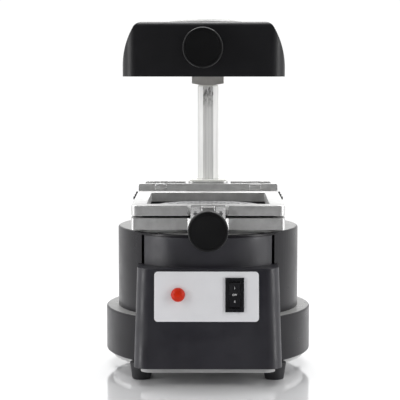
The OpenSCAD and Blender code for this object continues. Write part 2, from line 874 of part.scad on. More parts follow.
module platen() {
    face_t = 3;
    side = 3;
    boss = 5.6;
    pitch = (platen_screw_ring - boss - 1.4) / ring_n;
    color([0.62, 0.63, 0.64]) place() difference() {
        union() {
            difference() {
                translate([0, 0, platen_seat]) cylinder(r = platen_r, h = platen_top - platen_seat);
                translate([0, 0, platen_seat - past])
                    cylinder(r = platen_r - side, h = platen_top - face_t - platen_seat + past);
            }
            at_platen_screws()
                translate([0, 0, platen_seat]) cylinder(r = boss, h = platen_top - platen_seat - 1);
        }
        at_platen_screws() {
            translate([0, 0, platen_seat - past]) cylinder(r = screw_r + press, h = platen_top);
            translate([0, 0, platen_top - screw_sunk]) cylinder(r = screw_head + press, h = 2 + past);
        }
        for (k = [0 : ring_n])
            for (j = [0 : max(6 * k - 1, 0)])
                rotate([0, 0, k == 0 ? 0 : (j + 0.5) * 60 / k])
                    translate([k * pitch, 0, platen_top - 2 * face_t])
                        cylinder(r = hole_r, h = 3 * face_t, $fn = 24);
    }
}

module platen_screws() {
    color([0.70, 0.71, 0.73]) place() at_platen_screws() {
        translate([0, 0, deck_under]) cylinder(r = screw_r, h = platen_top - deck_under - 1);
        translate([0, 0, platen_top - screw_sunk]) cylinder(r = screw_head, h = screw_sunk - fit);
    }
}

// Post

module post() {
    color([0.74, 0.75, 0.76]) place() difference() {
        union() {
            post_prism(0, socket_z, post_top);
            translate([0, post_y, post_top - past]) cylinder(r = pivot_r, h = journal_top - post_top + past);
            translate([0, post_y, journal_top - past]) cylinder(r = thread_r, h = thread_l + past);
        }
        translate([0, post_y, socket_z - past]) cylinder(r = post_bore, h = journal_top);
    }
}

module post_screws() {
    color([0.30, 0.31, 0.33]) place()
        for (z = clamp_zs)
            translate([0, 0, z]) {
                along_y(bolt_r, post_y + post_w / 2 + press, housing_back - 2);
                along_y(bolt_head, housing_back - 5, housing_back - 0.6);
            }
}

module heater_lead() {
    start_z = socket_z - 4;
    color([0.10, 0.10, 0.10]) swung() {
        translate([0, post_y, start_z]) cylinder(r = lead_r, h = lead_top - start_z);
        translate([0, post_y - lead_bend, lead_top])
            rotate([90, 0, 90])
                rotate_extrude(angle = lead_turn)
                    translate([lead_bend, 0]) circle(r = lead_r);
        lead_sleeve(sleeve_r, 0);
    }
}

// Sheet frame and carriage

// A rubber seal, or its groove, slack wider than the seal on each side
module seal_ring(slack, z0, z1) {
    inner_x = window_hx + gasket_in - slack;
    inner_y = window_hy + gasket_in - slack;
    out_y = inner_y + gasket_w + 2 * slack;
    window_frame(inner_x + gasket_w + 2 * slack, -out_y, out_y, 4, inner_x, inner_y, z0, z1);
}

module at_carriage_screws() {
    for (x = carriage_screw_xs)
        translate([x, 0, frame_z + 4.6]) children();
}

module lower_frame() {
    color([0.78, 0.79, 0.80]) place() difference() {
        window_frame(frame_hw, -frame_front, bar_y, lower_corner, window_hx, window_hy, frame_z, frame_top);
        seal_ring(0.1, frame_top - gasket_deep, frame_top + past);
        at_carriage_screws() along_y(screw_r + press, bar_y - 14, bar_y + past);
        translate([0, 0, handle_z]) along_y(stem_r + fit, -frame_front - past, -frame_front + 4);
    }
}

module lower_sheet_seal() {
    color([0.07, 0.07, 0.07]) place()
        seal_ring(0, frame_top - gasket_deep, frame_top + gasket_proud);
}

module carriage() {
    notch = ear_w + 2 * fit + 0.2;
    rib_z = bar_top - 21;
    rib_cut = 3;
    color([0.76, 0.77, 0.78]) place() difference() {
        union() {
            translate([0, bar_y + bar_t, 0])
                rotate([90, 0, 0])
                    linear_extrude(height = bar_t) {
                        translate([-frame_hw, frame_z]) square([2 * frame_hw, bar_top - bar_round - frame_z]);
                        translate([bar_round - frame_hw, frame_z])
                            square([2 * (frame_hw - bar_round), bar_top - frame_z]);
                        for (x = [bar_round - frame_hw, frame_hw - bar_round])
                            translate([x, bar_top - bar_round]) circle(r = bar_round);
                    }
            translate([0, bar_y + bar_t + rib_t, 0])
                rotate([90, 0, 0])
                    linear_extrude(height = rib_t + past)
                        difference() {
                            polygon([[-rib_hw, rib_z], [rib_hw, rib_z], [rib_hw, yoke_top - rib_cut],
                                [rib_hw - rib_cut, yoke_top], [rib_cut - rib_hw, yoke_top],
                                [-rib_hw, yoke_top - rib_cut]]);
                            translate([-rib_in, bar_top - rib_cut]) square([2 * rib_in, rib_cut + yoke_top]);
                        }
            round_plate(yoke_hw, bar_y + bar_t / 2, yoke_back, 6, frame_z, yoke_top);
        }
        for (x = [-ear_x, ear_x])
            translate([x - notch / 2, bar_y - past, frame_top + 1])
                cube([notch, pin_y - bar_y + ear_r + 0.4 + past, bar_top]);
        translate([0, pin_y, pin_z]) along_x(pin_r + press, -frame_hw - past, frame_hw + past);
        post_prism(slide_gap + liner_t, frame_z - past, yoke_top + past);
        at_carriage_screws() along_y(screw_r + press, bar_y - past, bar_y + bar_t + past);
    }
}

module carriage_liner() {
    color([0.90, 0.90, 0.88]) place() difference() {
        union() {
            post_prism(slide_gap + liner_t - press, frame_z, yoke_top + flange_t);
            round_plate(yoke_hw - 1, bar_y + bar_t / 2 + 1, yoke_back - 1, 5, yoke_top, yoke_top + flange_t);
        }
        post_prism(slide_gap, frame_z - past, yoke_top + flange_t + past);
    }
}

module carriage_screws() {
    color([0.62, 0.63, 0.65]) place() at_carriage_screws() {
        along_y(screw_r, bar_y - 13, bar_y + bar_t);
        along_y(screw_head, bar_y + bar_t, bar_y + bar_t + 2.4);
    }
}

module hinge_pin() {
    color([0.70, 0.71, 0.73]) place()
        translate([0, pin_y, pin_z]) along_x(pin_r, -frame_hw + 0.4, frame_hw - 0.4);
}

module handle_bracket() {
    boss = stem_r + 0.7;
    low = handle_z - boss;
    lug_top = upper_top - 0.4;
    lug_back = bracket_front - past / 2;
    color([0.82, 0.83, 0.84]) place() difference() {
        union() {
            translate([0, 0, low])
                linear_extrude(height = frame_top - low)
                    polygon([[-bracket_hw, -frame_front], [bracket_hw, -frame_front],
                        [bracket_hw - catch_bevel, -bracket_front], [catch_bevel - bracket_hw, -bracket_front]]);
            for (x = [-lug_out, lug_in])
                translate([x, 0, 0])
                    rotate([90, 0, 90])
                        linear_extrude(height = lug_out - lug_in)
                            polygon([[-lug_back, low], [-lug_front, low],
                                [-lug_front, lug_top - lug_front + bracket_front],
                                [-bracket_front, lug_top], [-lug_back, lug_top]]);
            translate([0, 0, handle_z]) along_y(boss, -lug_front, -bracket_front + past / 2);
        }
        translate([0, 0, handle_z]) along_y(stem_r + press, -lug_front - past, -frame_front + past);
        translate([0, -bracket_front - plunger_y, plunger_z]) {
            along_x(plunger_r + press, lug_in - past, lug_out + past);
            along_x(plunger_r + press, -lug_out - past, -lug_in + past);
        }
        for (x = [-1, 1])
            translate([x * (lug_in + lug_out) / 2, 0, plunger_z])
                along_y(set_screw_r, -lug_front - past, -bracket_front - plunger_y);
    }
}

// Two spring plungers that press on the upper frame's tab from both sides
module catch_plungers() {
    color([0.70, 0.71, 0.73]) place()
        translate([0, -bracket_front - plunger_y, plunger_z]) {
            along_x(plunger_r, tab_hw + 0.3, lug_out + plunger_out);
            along_x(plunger_r, -lug_out - plunger_out, -tab_hw - 0.3);
        }
}

module handle_stem() {
    color([0.72, 0.73, 0.74]) place()
        translate([0, 0, handle_z]) along_y(stem_r, -knob_back - knob_t / 2 + 0.5, -frame_front + 3.5);
}

module handle_knob() {
    color([0.05, 0.05, 0.05]) place() translate([0, 0, handle_z]) knob_shape(knob_back);
}

module upper_frame() {
    back = bar_y - 0.5;
    ear_l = 8;
    color([0.80, 0.81, 0.82]) place() difference() {
        union() {
            difference() {
                window_frame(frame_hw, -frame_front, back, upper_corner,
                    window_hx, window_hy, upper_z, upper_top);
                translate([0, -frame_front, upper_z - past])
                    linear_extrude(height = upper_t + 2 * past)
                        polygon([[-catch_hw - past, -past], [catch_hw + past, -past],
                            [catch_hw - catch_bevel, catch_bevel], [catch_hw - catch_bevel, catch_deep],
                            [catch_bevel - catch_hw, catch_deep], [catch_bevel - catch_hw, catch_bevel]]);
            }
            translate([-tab_hw, -frame_front - tab_l, upper_z])
                cube([2 * tab_hw, tab_l + catch_deep + past, upper_t - 0.6]);
            for (x = [-ear_x, ear_x])
                translate([x - ear_w / 2, 0, 0]) {
                    translate([0, pin_y, pin_z]) along_x(ear_r, 0, ear_w);
                    translate([0, back - ear_l, upper_z + 3])
                        cube([ear_w, pin_y - back + ear_l, upper_t - 3.6]);
                    translate([0, bar_y + fit, upper_z + 3])
                        cube([ear_w, pin_y - bar_y - fit, pin_z + ear_r - upper_z - 3]);
                }
        }
        seal_ring(0.1, upper_z - past, upper_z + gasket_deep);
        translate([0, pin_y, pin_z]) along_x(pin_r + turn, -frame_hw, frame_hw);
    }
}

module upper_sheet_seal() {
    color([0.07, 0.07, 0.07]) place()
        seal_ring(0, upper_z - gasket_proud, upper_z + gasket_deep);
}

// Heating head

module thrust_washer() {
    color([0.90, 0.90, 0.88]) place() translate([0, post_y, post_top + press])
        ring(post_w / 2 - 0.4, pivot_r + turn, washer_t - 2 * press);
}

module head_collar() {
    boss_back = post_y + collar_hw;
    boss_front = post_y - collar_hw;
    arm_h = 32;
    web_h = 18;
    color([0.66, 0.66, 0.64]) swung() difference() {
        union() {
            translate([0, boss_back, 0])
                rotate([90, 0, 0])
                    linear_extrude(height = 2 * collar_hw)
                        polygon([[-collar_hw, collar_z + 2], [-5.5, collar_z], [5.5, collar_z],
                            [collar_hw, collar_z + 2], [collar_hw, collar_top], [-collar_hw, collar_top]]);
            translate([-9, head_back, collar_top - web_h]) cube([18, boss_front - head_back + past, web_h]);
            translate([-arm_hw, head_back, arm_z]) cube([2 * arm_hw, arm_t, arm_h]);
        }
        translate([0, post_y, collar_z - past]) cylinder(r = pivot_r + turn, h = collar_h + 2 * past);
        at_arm_screws() along_y(screw_r + press, head_back - past, head_back + arm_t + past);
        lead_sleeve(sleeve_r + fit, past);
    }
}

module pivot_nut() {
    color([0.62, 0.63, 0.65]) place() translate([0, post_y, journal_top + press]) difference() {
        union() {
            cylinder(r = 13, h = 1.6);
            translate([0, 0, 1.6]) cylinder(r = 10, h = 7, $fn = 6);
        }
        translate([0, 0, -past]) cylinder(r = thread_r + press, h = 12);
    }
}

// The head's outline seen from the front: bulging sides and round upper corners
module head_outline(inset) {
    bulge_z = head_z + 7;
    r = head_edge;
    hw = head_hw - inset;
    top = head_top - inset;
    cx = hw - side_r;
    corner_x = cx + sqrt(pow(side_r - r, 2) - pow(top - r - bulge_z, 2));
    touch_z = bulge_z + (top - r - bulge_z) * side_r / (side_r - r);
    intersection() {
        translate([cx, bulge_z]) circle(r = side_r, $fn = 180);
        translate([-cx, bulge_z]) circle(r = side_r, $fn = 180);
        translate([-head_hw, bulge_z]) square([2 * head_hw, touch_z - bulge_z]);
    }
    translate([-hw, head_z - 2 * inset]) square([2 * hw, bulge_z - head_z + 2 * inset]);
    translate([-corner_x, head_z]) square([2 * corner_x, top - head_z]);
    for (x = [-corner_x, corner_x])
        translate([x, top - r]) circle(r = r);
}

module head_block(inset) {
    intersection() {
        translate([0, head_back - inset, 0])
            rotate([90, 0, 0])
                linear_extrude(height = head_front + head_back - 2 * inset) head_outline(inset);
        round_plate(head_hw, inset - head_front, head_back - inset, head_corner - inset,
            head_z - 2 * past, head_top + past);
    }
}

// The head's outer block, with its front and back upper edges rounded too
module head_body() {
    r = head_brow;
    intersection() {
        head_block(0);
        rotate([90, 0, 90])
            translate([0, 0, -head_hw - past])
                linear_extrude(height = 2 * (head_hw + past)) {
                    translate([r - head_front, head_z - past])
                        square([head_front + head_back - 2 * r, head_h + past]);
                    translate([-head_front, head_z - past])
                        square([head_front + head_back, head_h + past - r]);
                    for (y = [r - head_front, head_back - r])
                        translate([y, head_top - r]) circle(r = r);
                }
    }
}

module head_shell() {
    color([0.09, 0.09, 0.10]) swung() difference() {
        head_body();
        translate([0, 0, -past]) head_block(wall);
        translate([0, 0, head_z + head_knob_z])
            along_y(stem_r + press, -head_front - past, -head_front + 2 * wall);
        at_arm_screws() along_y(screw_r + press, head_back - 2 * wall, head_back + past);
        lead_sleeve(sleeve_r + fit, past);
        translate([0, 0, head_z]) cylinder(r = cap_stem_r + fit, h = head_h + past);
    }
}

module head_cap() {
    color([0.74, 0.74, 0.73]) swung() translate([0, 0, head_top]) {
        cylinder(r = cap_r, h = cap_h - 1.2);
        cylinder(r = cap_r - 2, h = cap_h);
        translate([0, 0, -wall - 3]) cylinder(r = cap_stem_r, h = wall + 4);
    }
}

module reflector() {
    skin = 1.2;
    color([0.80, 0.81, 0.82]) swung() {
        difference() {
            round_plate(pan_hx, -pan_front, pan_back, 10, pan_z, pan_top);
            round_plate(pan_hx - skin, -pan_front + skin, pan_back - skin, 10 - skin,
                pan_z - past, pan_top - skin);
        }
        for (x = [-1, 1])
            for (y = [-pan_front + 14, pan_back - 14])
                translate([x * (pan_hx - 14), y, pan_top - past / 2])
                    cylinder(r = 4, h = head_top - wall - past - pan_top + past / 2);
    }
}

module insulation() {
    color([0.88, 0.86, 0.80]) swung() difference() {
        round_plate(pan_hx - 4, -pan_front + 4, pan_back - 4, 8, pan_top, pan_top + 6);
        for (x = [-1, 1])
            for (y = [-pan_front + 14, pan_back - 14])
                translate([x * (pan_hx - 14), y, pan_top - past]) cylinder(r = 4.4, h = 8);
    }
}

// A rod bent to and fro, with half-round bends at the ends of its straight runs
module heating_element() {
    runs = 6;
    pitch = 20;
    half_run = 46;
    mid_y = (pan_back - pan_front) / 2;
    color([0.42, 0.40, 0.38]) swung() translate([0, mid_y - (runs - 1) * pitch / 2, element_z]) {
        for (k = [0 : runs - 1])
            translate([0, k * pitch, 0]) along_x(element_r, -half_run, half_run);
        for (k = [0 : runs - 2])
            translate([k % 2 == 0 ? half_run : -half_run, (k + 0.5) * pitch, 0])
                rotate([0, 0, k % 2 == 0 ? -90 : 90])
                    rotate_extrude(angle = 180)
                        translate([pitch / 2, 0]) circle(r = element_r);
    }
}

module element_clips() {
    mid_y = (pan_back - pan_front) / 2;
    t = 3;
    color([0.92, 0.91, 0.87]) swung()
        for (x = [-30, 30])
            difference() {
                translate([x - t / 2, mid_y - 54, element_z - 5])
                    cube([t, 108, pan_top - 1.2 - element_z + 5]);
                for (k = [-2.5 : 1 : 2.5])
                    translate([0, mid_y + k * 20, element_z]) along_x(element_r + 0.1, x - t, x + t);
            }
}

module head_stem() {
    color([0.72, 0.73, 0.74]) swung() translate([0, 0, head_z + head_knob_z]) {
        along_y(stem_r, -head_knob_back - knob_t / 2 + 0.5, -head_front + wall + 3);
        along_y(7, -head_front + wall + fit, -head_front + wall + 3);
    }
}

module head_knob() {
    color([0.05, 0.05, 0.05]) swung() translate([0, 0, head_z + head_knob_z]) knob_shape(head_knob_back);
}

base_shell();
front_cover();
base_plate();
plate_screws();
rubber_feet();
foot_screws();
rear_housing();
housing_bolts();
power_inlet();
inlet_pins();
fuse_holder();
control_panel();
lamp_lens();
lamp_body();
lamp_nut();
switch_body();
rocker();
motor_mount();
motor_can();
stator();
armature();
motor_shaft();
lower_bearing();
upper_bearing();
brush_holders();
fan_case();
diffuser();
lower_impeller();
upper_impeller();
fan_seal();
suction_duct();
platen_gasket();
platen();
platen_screws();
post();
post_screws();
heater_lead();
lower_frame();
lower_sheet_seal();
carriage();
carriage_liner();
carriage_screws();
hinge_pin();
handle_bracket();
catch_plungers();
handle_stem();
handle_knob();
upper_frame();
upper_sheet_seal();
thrust_washer();
head_collar();
pivot_nut();
head_shell();
head_cap();
reflector();
insulation();
heating_element();
element_clips();
head_stem();
head_knob();
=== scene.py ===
"""The looks of a dental vacuum former: finishes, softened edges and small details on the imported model.

Lengths are in metres, in the part's own frame: +Z is up and the control panel faces -Y.
"""
import json
import math

import bmesh
import bpy
from mathutils import Matrix, Vector

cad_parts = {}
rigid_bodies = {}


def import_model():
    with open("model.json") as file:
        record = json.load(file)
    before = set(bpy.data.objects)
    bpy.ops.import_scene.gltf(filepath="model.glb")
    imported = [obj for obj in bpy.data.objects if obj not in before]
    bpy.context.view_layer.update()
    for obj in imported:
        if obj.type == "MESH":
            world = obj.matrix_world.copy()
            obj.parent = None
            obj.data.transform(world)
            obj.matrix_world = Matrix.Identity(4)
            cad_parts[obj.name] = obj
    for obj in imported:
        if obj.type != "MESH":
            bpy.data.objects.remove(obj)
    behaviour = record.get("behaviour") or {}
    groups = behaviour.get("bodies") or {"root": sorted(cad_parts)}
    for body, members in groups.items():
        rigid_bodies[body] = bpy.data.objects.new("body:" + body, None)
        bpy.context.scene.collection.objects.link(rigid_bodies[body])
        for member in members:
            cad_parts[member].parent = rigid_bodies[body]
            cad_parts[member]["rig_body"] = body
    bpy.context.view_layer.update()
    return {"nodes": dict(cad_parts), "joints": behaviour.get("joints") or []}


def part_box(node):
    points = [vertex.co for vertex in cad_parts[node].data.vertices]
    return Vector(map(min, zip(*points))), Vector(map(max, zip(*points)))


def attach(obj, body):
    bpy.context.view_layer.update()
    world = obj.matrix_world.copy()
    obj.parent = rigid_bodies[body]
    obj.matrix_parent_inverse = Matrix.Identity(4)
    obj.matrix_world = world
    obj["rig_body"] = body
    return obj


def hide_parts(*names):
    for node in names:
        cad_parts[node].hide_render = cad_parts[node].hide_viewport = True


MM = 0.001
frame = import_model()

# Camera: a long lens in the machine's plane of symmetry, a little above the sheet frame
IMAGE_PX = 400
SENSOR = 36.0
FOCAL_PX = 1430.0
CAMERA_AT = Vector((0.0, -1.4392, 0.3043))
# Pixels from the horizon down to the picture's middle, and the column of the machine's middle
DROP_PX = 140
MIDDLE_PX = 208.1
CAMERA_DROP = math.atan(DROP_PX / FOCAL_PX)
CAMERA_TURN = math.atan((MIDDLE_PX - IMAGE_PX / 2) / FOCAL_PX)

# Lean of the control face
RAKE = math.radians(9.1)
# Swing of the head at rest
HEAD_SWING = math.radians(1.45)


def make_camera():
    data = bpy.data.cameras.new("camera")
    data.sensor_width = SENSOR
    data.lens = SENSOR * FOCAL_PX / IMAGE_PX
    data.clip_end = 50
    camera = bpy.data.objects.new("camera", data)
    camera.location = CAMERA_AT
    camera.rotation_euler = (math.pi / 2 - CAMERA_DROP, 0, CAMERA_TURN)
    bpy.context.collection.objects.link(camera)
    bpy.context.scene.camera = camera


# Materials

# Stretches of a texture that turn it into fine lines along Z, X or Y
UPRIGHT = (1, 1, 0.06)
ACROSS = (0.06, 1, 1)
ENDWISE = (1, 0.06, 1)

PLATEN_MIDDLE = sum(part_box("platen"), Vector()) / 2
# Distance between the platen's dark rings
RING_STEP = 8.6 * MM
# The post's painted reflection of the dark head fades in between these heights
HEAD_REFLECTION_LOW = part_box("head_shell")[0].z - 36 * MM
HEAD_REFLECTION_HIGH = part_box("head_shell")[0].z - 22 * MM
# An axis, and the part of a face's normal along it where a veil begins and where it is full
UPWARD = ("Z", 0.90, 0.99)
FORWARD = ("Y", -0.85, -0.98)


class Surface:
    """A node material. Sizes are in millimetres, heights too."""

    def __init__(self, name):
        self.material = bpy.data.materials.new(name)
        self.material.use_nodes = True
        self.tree = self.material.node_tree
        self.shader = self.tree.nodes["Principled BSDF"]
        self.where = self.tree.nodes.new("ShaderNodeTexCoord").outputs["Object"]
        self.height = None

    def link(self, source, target):
        self.tree.links.new(source, target)

    def set(self, **values):
        for name, value in values.items():
            self.shader.inputs[name.replace("_", " ")].default_value = value
        return self

    def stretched(self, stretch):
        mapping = self.tree.nodes.new("ShaderNodeMapping")
        mapping.inputs["Scale"].default_value = stretch
        self.link(self.where, mapping.inputs["Vector"])
        return mapping.outputs["Vector"]

    def noise(self, size, detail, roughness=0.5, stretch=(1, 1, 1)):
        node = self.tree.nodes.new("ShaderNodeTexNoise")
        node.inputs["Scale"].default_value = 1 / (size * MM)
        node.inputs["Detail"].default_value = detail
        node.inputs["Roughness"].default_value = roughness
        self.link(self.stretched(stretch), node.inputs["Vector"])
        return node.outputs["Fac"]

    def cells(self, size):
        node = self.tree.nodes.new("ShaderNodeTexVoronoi")
        node.inputs["Scale"].default_value = 1 / (size * MM)
        self.link(self.where, node.inputs["Vector"])
        return node.outputs["Distance"]

    def rings(self, centre, step):
        """Goes from 0 to 1 and back with each step, in metres, away from an upright line through centre."""
        away = self.tree.nodes.new("ShaderNodeVectorMath")
        away.operation = "SUBTRACT"
        self.link(self.where, away.inputs[0])
        away.inputs[1].default_value = centre
        node = self.tree.nodes.new("ShaderNodeTexWave")
        node.wave_type = "RINGS"
        node.rings_direction = "Z"
        node.inputs["Scale"].default_value = math.pi / (10 * step)
        self.link(away.outputs["Vector"], node.inputs["Vector"])
        return node.outputs["Fac"]

    def ranged(self, source, low, high, start=0.3, end=0.7):
        """Goes from low to high as the source goes from start to end."""
        node = self.tree.nodes.new("ShaderNodeMapRange")
        node.inputs["From Min"].default_value = start
        node.inputs["From Max"].default_value = end
        node.inputs["To Min"].default_value = low
        node.inputs["To Max"].default_value = high
        self.link(source, node.inputs["Value"])
        return node.outputs["Result"]

    def maths(self, operation, first, second):
        node = self.tree.nodes.new("ShaderNodeMath")
        node.operation = operation
        self.link(first, node.inputs[0])
        self.link(second, node.inputs[1])
        return node.outputs["Value"]

    def product(self, first, second):
        return self.maths("MULTIPLY", first, second)

    def axis(self, source, name):
        node = self.tree.nodes.new("ShaderNodeSeparateXYZ")
        self.link(source, node.inputs[0])
        return node.outputs[name]

    def facing(self, name, low, high):
        """Goes from 0 to 1 as the surface's normal goes from low to high along one axis."""
        geometry = self.tree.nodes.new("ShaderNodeNewGeometry")
        return self.ranged(self.axis(geometry.outputs["Normal"], name), 0, 1, low, high)

    def veil(self, amount, colour):
        """Mixes another colour over the colour so far."""
        node = self.tree.nodes.new("ShaderNodeMixRGB")
        target = self.shader.inputs["Base Color"]
        self.link(amount, node.inputs["Fac"])
        self.link(target.links[0].from_socket, node.inputs["Color1"])
        node.inputs["Color2"].default_value = (*colour, 1)
        self.link(node.outputs["Color"], target)
        return self

    def colours(self, source, first, last, start, end):
        """The colour goes from first to last as the source goes from start to end."""
        node = self.tree.nodes.new("ShaderNodeValToRGB")
        low, high = node.color_ramp.elements
        low.position, high.position = start, end
        low.color = (*first, 1)
        high.color = (*last, 1)
        self.link(source, node.inputs["Fac"])
        self.link(node.outputs["Color"], self.shader.inputs["Base Color"])
        return self

    def drift(self, colour, spread, size, stretch=(1, 1, 1)):
        """The colour drifts by spread, a share, in patches of that size."""
        dark = [c * (1 - spread) for c in colour]
        light = [c * (1 + spread) for c in colour]
        return self.colours(self.noise(size, 5, 0.6, stretch), dark, light, 0.3, 0.7)

    def gloss(self, low, high, size, stretch=(1, 1, 1)):
        """The roughness drifts between low and high in patches of that size."""
        spots = self.noise(size, 4, 0.6, stretch)
        self.link(self.ranged(spots, low, high), self.shader.inputs["Roughness"])
        return self

    def relief(self, source, height):
        """Raises the surface by up to height where source is 1, on top of earlier relief."""
        node = self.tree.nodes.new("ShaderNodeBump")
        node.inputs["Strength"].default_value = 1.0
        node.inputs["Distance"].default_value = height * MM
        self.link(source, node.inputs["Height"])
        if self.height:
            self.link(self.height, node.inputs["Normal"])
        self.height = node.outputs["Normal"]
        self.link(self.height, self.shader.inputs["Normal"])
        return self


def grained(name, colour, low, high, grain_size, grain, specular):
    """The surface of textured plastic or enamel, with a fine grain on faint slow waves."""
    s = Surface(name).drift(colour, spread=0.16, size=38).gloss(low, high, size=21)
    s.relief(s.noise(grain_size, detail=2), grain).relief(s.noise(60, detail=1), height=0.15)
    return s.set(Specular_IOR_Level=specular)


def moulded(name, colour, low, high, grain=0.012, specular=0.5):
    return grained(name, colour, low, high, 0.55, grain, specular).material


def painted_sheen_enamel(name, colour, sheen_colour, low, high, specular):
    """Enamel whose upward faces are lighter in patches: a painted sheen where they would catch the bright
    surroundings.
    """
    s = grained(name, colour, low, high, 0.9, 0.006, specular)
    patches = s.ranged(s.noise(5, detail=5, roughness=0.7), 0.75, 1.0)
    # Painted sheen: upward faces are mixed in patches towards the lighter colour
    return s.veil(s.product(s.facing(*UPWARD), patches), sheen_colour).material


def brushed_post():
    """Brushed metal with upright streaks and a painted reflection of the dark head on the front, just below
    the head.
    """
    s = Surface("post").drift((0.76, 0.76, 0.75), spread=0.17, size=2.0, stretch=(1, 1, 0.02))
    s.gloss(0.50, 0.64, size=3, stretch=UPRIGHT)
    top = s.ranged(s.axis(s.where, "Z"), 0, 1, HEAD_REFLECTION_LOW, HEAD_REFLECTION_HIGH)
    patches = s.ranged(s.noise(2.6, 4, 0.65, (1, 1, 0.4)), 0.15, 1.0, 0.42, 0.60)
    # Painted reflection: front faces just below the head are darkened in patches, as if they mirrored the
    # dark head
    s.veil(s.product(s.product(top, patches), s.facing(*FORWARD)), (0.20, 0.20, 0.195))
    s.relief(s.noise(0.5, 3, 0.7, UPRIGHT), height=0.012).set(Metallic=0.35)
    return s.material


def ringed_platen():
    """A machined face with fine dark rings between its rows of holes."""
    s = Surface("platen").drift((0.40, 0.40, 0.405), spread=0.12, size=6).gloss(0.40, 0.54, size=3)
    dark = s.ranged(s.rings(PLATEN_MIDDLE, RING_STEP), 0, 1, 0.62, 0.92)
    s.veil(s.product(dark, s.facing(*UPWARD)), (0.07, 0.07, 0.07))
    s.relief(s.noise(0.5, 3, 0.7), height=0.006).set(Metallic=1.0)
    return s.material


def cast(name, colour, low, high, grain):
    """Cast aluminium with a fine sand grain."""
    s = Surface(name).drift(colour, spread=0.10, size=9).gloss(low, high, size=6).set(Metallic=1.0)
    s.relief(s.noise(0.8, 4, 0.7), grain).relief(s.cells(1.6), grain * 0.6)
    return s.material


def turned(name, colour, low, high, along):
    """Machined metal with fine lines along one axis."""
    s = Surface(name).drift(colour, spread=0.06, size=14, stretch=along)
    s.gloss(low, high, size=3, stretch=along).set(Metallic=1.0)
    s.relief(s.noise(0.5, 3, 0.7, along), height=0.006)
    return s.material


def rubber(name, colour):
    s = Surface(name).drift(colour, spread=0.2, size=12).gloss(0.55, 0.75, size=8)
    s.relief(s.noise(0.4, detail=2), height=0.01).set(Specular_IOR_Level=0.35)
    return s.material


def glossy(name, colour, low, high, spread=0.06):
    s = Surface(name).drift(colour, spread, size=20).gloss(low, high, size=10)
    s.relief(s.noise(18, detail=1), height=0.02)
    return s.material


def lens_red():
    s = Surface("lens_red").drift((0.44, 0.016, 0.002), spread=0.25, size=3.5).gloss(0.28, 0.40, size=4)
    s.relief(s.cells(1.1), height=0.03)
    s.set(Emission_Color=(0.80, 0.035, 0.006, 1), Emission_Strength=0.14, Specular_IOR_Level=0.22)
    return s.material


def copper_winding():
    s = Surface("copper_winding").drift((0.42, 0.15, 0.05), spread=0.3, size=1.2, stretch=(1, 1, 6))
    s.gloss(0.3, 0.5, size=3)
    s.relief(s.noise(0.6, detail=1, stretch=(1, 1, 8)), height=0.2).set(Metallic=0.8)
    return s.material


def fibre():
    s = Surface("fibre").drift((0.74, 0.70, 0.60), spread=0.12, size=4).gloss(0.85, 0.95, size=4)
    s.relief(s.noise(0.9, detail=6, roughness=0.8), height=0.15)
    return s.material


# The two plain numbers after a colour are the lowest and the highest roughness
FINISHES = {
    # The housing's second, lighter grey is a painted sheen on its upward faces
    "housing": painted_sheen_enamel("housing", (0.0078, 0.0070, 0.0094), (0.30, 0.30, 0.295), 0.26, 0.36, specular=0.27),
    "cover": moulded("cover", (0.0175, 0.0168, 0.0225), 0.32, 0.54),
    "head": moulded("head", (0.0064, 0.0062, 0.0078), 0.40, 0.50, grain=0.008, specular=0.40),
    "plate": moulded("plate", (0.46, 0.46, 0.46), 0.35, 0.50),
    "panel": glossy("panel", (0.78, 0.78, 0.80), 0.36, 0.44, spread=0.012),
    "rubber": rubber("rubber", (0.018, 0.018, 0.020)),
    "steel": turned("steel", (0.52, 0.52, 0.53), 0.25, 0.40, ACROSS),
    "dark_steel": turned("dark_steel", (0.08, 0.08, 0.085), 0.35, 0.50, ACROSS),
    "shiny_black": glossy("shiny_black", (0.006, 0.006, 0.008), 0.24, 0.34),
    "brass": turned("brass", (0.60, 0.46, 0.22), 0.25, 0.40, ENDWISE),
    "lens": lens_red(),
    "white_plastic": moulded("white_plastic", (0.72, 0.72, 0.68), 0.40, 0.50, grain=0.006),
    "zinc": cast("zinc", (0.50, 0.51, 0.53), 0.35, 0.50, grain=0.01),
    "copper": copper_winding(),
    "fan": turned("fan", (0.66, 0.67, 0.69), 0.25, 0.40, ACROSS),
    "platen": ringed_platen(),
    "post": brushed_post(),
    "cast": cast("cast", (0.62, 0.62, 0.615), 0.42, 0.56, grain=0.05),
    "machined": turned("machined", (0.90, 0.90, 0.90), 0.22, 0.34, ACROSS),
    "knob": moulded("knob", (0.0045, 0.0045, 0.0050), 0.34, 0.44, grain=0.004, specular=0.25),
    "collar": cast("collar", (0.62, 0.61, 0.59), 0.42, 0.55, grain=0.015),
    "cap": moulded("cap", (0.80, 0.80, 0.79), 0.35, 0.50),
    "bright": turned("bright", (0.82, 0.82, 0.83), 0.12, 0.22, ACROSS),
    "fibre": fibre(),
    "hot_steel": turned("hot_steel", (0.16, 0.13, 0.115), 0.40, 0.55, ACROSS),
    "legend": moulded("legend", (0.75, 0.75, 0.76), 0.40, 0.50, grain=0.002),
    "shell_black": moulded("shell_black", (0.03, 0.03, 0.03), 0.45, 0.60),
}

